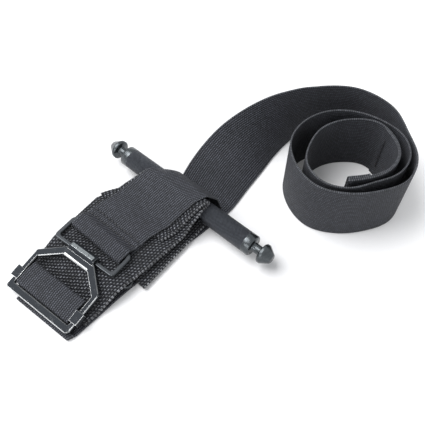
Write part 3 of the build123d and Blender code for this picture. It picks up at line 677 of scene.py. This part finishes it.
# its left edge sags behind the crest, where no pad lies under it
SAG = 3.5
for vert in cover.data.vertices:
    high = min(1.0, max(0.0, (vert.co.z / MM - 8.0) / 12.0))
    behind_crest = min(1.0, max(0.0, (vert.co.x / MM + 2.0) / 5.0))
    beyond_pads = min(1.0, max(0.0, (vert.co.y / MM - 16.0) / 6.0))
    vert.co.z -= SAG * MM * high * behind_crest * beyond_pads
cover.data.materials.append(smooth_webbing)
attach(cover, "stack")
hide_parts("cover_webbing")

# ---------------------------------------------------------------- cover stitching
# Two rows of lock stitch across the cover, behind the ring, that close its loop.
places = []
for x in (-39.2, -43.0):
    places += [((x, 2.2 + STITCH_SPACING * index, 9.62), (0, 1, 0), (0, 0, 1)) for index in range(14)]
cover_seam = thread_stitches("cover_seam", places, 2.0, 0.9, 0.5)
cover_seam.data.materials.append(bonded_thread)
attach(cover_seam, "stack")
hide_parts("cover_stitching")

# ---------------------------------------------------------------- long strap
# One length of smooth 38 mm webbing. It runs under the stack, leaves it at the far end, turns up on its
# edge and is rolled into three loose turns, as the strap is kept in its pouch.
def smooth_point(points, index, t):
    """The point at share t of the way from one point to the next, on a smooth curve through them all."""
    one, two = Vector(points[index]), Vector(points[index + 1])
    before, after = Vector(points[max(index - 1, 0)]), Vector(points[min(index + 2, len(points) - 1)])
    bend = (2 * before - 5 * one + 4 * two - after) * t * t
    return 0.5 * (2 * one + (two - before) * t + bend + (3 * one - before - 3 * two + after) * t ** 3)


def smooth_run(points, step):
    """A smooth curve through points, with a point about every step of the first two values."""
    fine = []
    for index in range(len(points) - 1):
        span = max(2, round(math.dist(points[index][:2], points[index + 1][:2]) / step))
        fine += [smooth_point(points, index, part / span) for part in range(span)]
    return fine + [Vector(points[-1])]


def eased_run(points, reach, rounds):
    """The same run with its small kinks spread over a few points each way. Its ends stay."""
    for _ in range(rounds):
        spread = []
        for index, point in enumerate(points):
            near = min(reach, index, len(points) - 1 - index)
            parts = points[index - near:index + near + 1]
            spread.append(sum(parts, Vector((0, 0, 0))) / len(parts))
        points = spread
    return points


def edge_stations(points, width, depth):
    """Stations of a strap from its lower edge: x, y and its tilt in degrees. depth is how far the middle of
    the cloth lies inside that edge."""
    stations = []
    for index, (x, y, tilt) in enumerate(points):
        one, two = points[max(index - 1, 0)], points[min(index + 1, len(points) - 1)]
        along = Vector((two[0] - one[0], two[1] - one[1], 0)).normalized()
        lean = math.radians(max(0.0, min(90.0, tilt)))
        across = Vector((-along.y, along.x, 0)) * math.cos(lean) + Vector((0, 0, 1)) * math.sin(lean)
        normal = along.cross(across)
        middle = Vector((x, y, 0)) + across * (width / 2) + normal * depth
        stations.append((middle, across, normal, width / 2))
    return stations


# the roll: its centre, and its radius at every step, clockwise from its start, in degrees
ROLL_MIDDLE, ROLL_START, ROLL_STEP = (70.0, -58.0), 60.0, 30.0
ROLL_RADII = (
    51.2, 48.8, 42.9, 34.9, 35.3, 34.8, 31.4, 32.1, 35.2, 34.7, 34.5, 32.3,
    30.5, 29.0, 29.1, 31.8, 31.7, 28.7, 25.1, 28.7, 31.0, 28.7, 23.4, 22.1,
    21.6, 22.9, 27.0, 26.4, 26.4, 24.2, 22.2, 23.3)
# the strap's lower edge up to the roll: x, y and the tilt of the cloth in degrees
strap_edge = [
    (-81.2, -10.59, 0.0), (-60.0, -11.3, 0.0), (-20.0, -15.5, 0.0), (0.0, -17.6, 0.0), (14.0, -19.1, 0.0),
    (31.0, -16.6, 14.5), (49.0, -14.3, 35.0), (63.3, -12.0, 57.0), (75.0, -11.2, 70.0), (84.5, -11.4, 81.0)]
ROLL_FIRST = len(strap_edge)
for step, radius in enumerate(ROLL_RADII):
    angle = math.radians(ROLL_START - ROLL_STEP * step)
    x, y = ROLL_MIDDLE[0] + radius * math.cos(angle), ROLL_MIDDLE[1] + radius * math.sin(angle)
    strap_edge.append((x, y, 90.0))
strap_run = eased_run(smooth_run(strap_edge, 1.2), reach=4, rounds=2)
strap, strap_length = woven_strip(
    "long_strap_webbing", edge_stations(strap_run, STRAP_WIDTH, STRAP_THICK / 2), STRAP_THICK, STRAP_CELLS)
strap.data.materials.append(smooth_webbing)
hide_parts("long_strap")
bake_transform(strap)

# ---------------------------------------------------------------- tail hem and its bar tack
# The strap's end is folded back inside the roll and sewn down with a bar tack, and a short tab is turned
# over at the tip so that the tail can't slip through the slider.
TURN_STEPS = 12


def roll_frame(step):
    """The place on the roll's outer face at a step of its turns, its direction and its way inwards."""
    step = min(max(step, 0.0), len(ROLL_RADII) - 1.001)
    index, share = ROLL_FIRST + int(step), step - int(step)
    here = smooth_point(strap_edge, index, share)
    ahead = smooth_point(strap_edge, index, min(share + 0.01, 1.0))
    back = smooth_point(strap_edge, index, max(share - 0.01, 0.0))
    along = Vector((ahead[0] - back[0], ahead[1] - back[1], 0)).normalized()
    return Vector((here[0], here[1], 0)), along, along.cross(Vector((0, 0, 1)))


def folded_end(from_depth, to_depth, last_step, beyond=0.0):
    """Stations of cloth that turns over at the tip, from one depth in the roll to another, and runs back to
    a step of the roll."""
    tip, along, inward = roll_frame(len(ROLL_RADII))
    reach, upright = (to_depth - from_depth) / 2, Vector((0, 0, 1))
    half = STRAP_WIDTH / 2
    middle = tip + inward * (from_depth + reach) + along * beyond + upright * half
    stations = []
    for index in range(TURN_STEPS + 1):
        angle = math.pi * index / TURN_STEPS
        out = along * math.sin(angle) - inward * math.cos(angle)
        stations.append((middle + out * reach, upright, -out, half))
    step = len(ROLL_RADII) - 1.05
    while step >= last_step:
        place, _, inward = roll_frame(step)
        stations.append((place + inward * to_depth + upright * half, upright, -inward, half))
        step -= 0.05
    return stations


hem, _ = woven_strip("tail_hem_fold", folded_end(0.5, 1.75, 26.4), STRAP_THICK, STRAP_CELLS)
hem.data.materials.append(smooth_webbing)
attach(hem, "stack")
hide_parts("tail_hem")

tab_stations = folded_end(1.85, 2.85, 29.95, beyond=0.25)[8:]
tab, _ = woven_strip("tail_tip_tab", tab_stations, STRAP_THICK, STRAP_CELLS)
tab.data.materials.append(smooth_webbing)
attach(tab, "stack")

TACK_STEP, TACK_DEPTH, TACK_LEAN = 26.7, 2.38, 0.8
TACK_BOTTOM, TACK_SPACING = 8.8, 1.5
place, along, inward = roll_frame(TACK_STEP)
places = []
for index in range(15):
    lean = TACK_LEAN if index % 2 else -TACK_LEAN
    sway = 0.5 * noise.noise(Vector((index * 0.7, 2.0, 5.0)))
    height = Vector((0, 0, TACK_BOTTOM + TACK_SPACING * index))
    stitch = place + inward * TACK_DEPTH + along * sway + height
    places.append((stitch, Vector((0, 0, 1)) + along * lean, inward))
bar_tack = thread_stitches("tail_bar_tack", places, 2.4, 0.9, 0.5)
bar_tack.data.materials.append(bonded_thread)
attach(bar_tack, "stack")
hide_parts("tail_bartack")

# ---------------------------------------------------------------- rectangular ring
# A flat ring of coated steel in the cover's loop, which the buckle's hook catches. It is a stamping, with
# every edge eased.
rectangle = eased_copy("rectangular_ring_plate", "rectangular_ring", 0.18)
rectangle.data.materials.append(ring_metal)
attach(rectangle, "ring")
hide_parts("rectangular_ring")

# ---------------------------------------------------------------- strap front
# The strap's run goes on under the buckle, and is folded back at the front edge, under the front bar.
FRONT_YAW, YAW_START, YAW_LENGTH, BUCKLE_Y = 4.0, -80.9, 10.0, 18.6
corners = [
    (YAW_START, 0.5, -10.6, 27.4), (-97.0, 0.5, -10.1, 27.9), (-101.4, 0.5, -8.6, 29.4),
    (-101.4, 1.75, -8.6, 29.4), (-98.0, 1.75, -9.8, 28.3)]
stations = []
for centre, across, normal, half in side_view_stations(rounded_line(corners, [0.1, 0.6, 0.6], 0.3)):
    turn = math.radians(FRONT_YAW) * min(1.0, (YAW_START - centre.x) / YAW_LENGTH)
    centre.x += math.tan(turn) * (BUCKLE_Y - centre.y)
    rotation = Matrix.Rotation(turn, 3, "Z")
    stations.append((centre, rotation @ across, rotation @ normal, half))
front, _ = woven_strip("strap_front_fold", stations, STRAP_THICK, STRAP_CELLS)
front.data.materials.append(smooth_webbing)
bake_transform(front)

# ---------------------------------------------------------------- buckle frame
# A stamped and bent steel frame with a dark coat: front bar, rails, arms and the hook that is rolled over
# the ring's front bar.
# its pale second colour is mostly a painted highlight along the edges that face the front lamp, with some
# worn metal
buckle_metal = coated_metal("buckle_metal", (0.017, 0.0195, 0.0235), (0.62, 0.63, 0.63), 0.62)
buckle = eased_copy("buckle_plate", "buckle_frame", 0.3)
buckle.data.materials.append(buckle_metal)
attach(buckle, "buckle")
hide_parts("buckle_frame")

# ---------------------------------------------------------------- hook's rolled edge
# The inner edge of the hook, where its plate is rolled under, with a painted highlight along it.
# It is a round bar along the bend, so it belongs to the same plate.
BUCKLE_TILT, RING_X, HOOK_REACH, HOOK_Z = 11.05, -50.3, 13.6, 9.75
BEAD_HALF, BEAD_RADIUS, BEAD_BACK, BEAD_UP = 8.2, 0.7, 5.35, 1.35
turn, tilt = math.radians(FRONT_YAW), math.radians(BUCKLE_TILT)
forward = Vector((math.cos(tilt) * math.cos(turn), math.cos(tilt) * math.sin(turn), math.sin(tilt)))
sideways = Vector((-math.sin(turn), math.cos(turn), 0))
upward = forward.cross(sideways)
hook_middle = Vector((
    RING_X - HOOK_REACH * math.cos(turn), BUCKLE_Y - HOOK_REACH * math.sin(turn), HOOK_Z))
shape = bmesh.new()
wear_and_highlight = shape.faces.layers.float.new("wear_and_highlight")
bmesh.ops.create_uvsphere(shape, u_segments=24, v_segments=12, radius=1.0)
for vert in shape.verts:
    along = math.copysign(BEAD_HALF, vert.co.z) + BEAD_RADIUS * vert.co.z
    across, height = vert.co.x - BEAD_BACK, vert.co.y * 0.95 + BEAD_UP
    vert.co = (hook_middle + sideways * along + forward * across + upward * height) * MM
bmesh.ops.recalc_face_normals(shape, faces=shape.faces)
for face in shape.faces:
    face.smooth = True
    # painted highlight: every face of the bead takes the pale bare colour
    face[wear_and_highlight] = 1.0
bead = finished("hook_bead", shape)
bead.data.materials.append(buckle_metal)
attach(bead, "buckle")

# ---------------------------------------------------------------- hook clip and its rivets
# A thin strip of spring steel along the hook's lip, held by two small rivets, that keeps the ring in.
clip_steel = coated_metal("clip_steel", (0.10, 0.11, 0.115), (0.36, 0.38, 0.39), 0.42, scuffs=0.2)
clip = eased_copy("hook_clip_strip", "hook_clip", 0.12)
rivets = eased_copy("clip_rivet_heads", "clip_rivets", 0.1)
for piece, node in ((clip, "hook_clip"), (rivets, "clip_rivets")):
    piece.data.materials.append(clip_steel)
    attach(piece, "buckle")
    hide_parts(node)

# ---------------------------------------------------------------- slider bar
# The flat bar that grips the strap, with an ear bent round each rail of the frame.
slider = eased_copy("slider_plate", "slider_bar", 0.2)
slider.data.materials.append(buckle_metal)
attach(slider, "slider")
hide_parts("slider_bar")

# ---------------------------------------------------------------- strap loop on the slider
# The strap comes up behind the front bar, goes over the slider and back under it. It is drawn in the
# buckle's own plane, forward from the hook and up from the plate.
def in_buckle(one):
    """A direction or place in the buckle's own plane, turned into the strap's frame."""
    return forward * one[0] + sideways * one[1] + upward * one[2]


side_view = (
    (-34.4, -1.44), (-31.75, -1.95), (-31.75, 2.55), (-23.7, 2.6), (-18.6, 1.35), (-18.6, -0.35),
    (-30.2, -0.35))
corners = [(x, z, -STRAP_WIDTH / 2, STRAP_WIDTH / 2) for x, z in side_view]
stations = []
for centre, across, normal, half in side_view_stations(rounded_line(corners, [0.8, 1.2, 3.0, 0.8, 0.8], 0.3)):
    stations.append((hook_middle + in_buckle(centre), in_buckle(across), in_buckle(normal), half))
loop, _ = woven_strip("buckle_strap_webbing", stations, STRAP_THICK, STRAP_CELLS, wander=0.2)
loop.data.materials.append(smooth_webbing)
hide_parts("buckle_strap_loop")
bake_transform(loop)
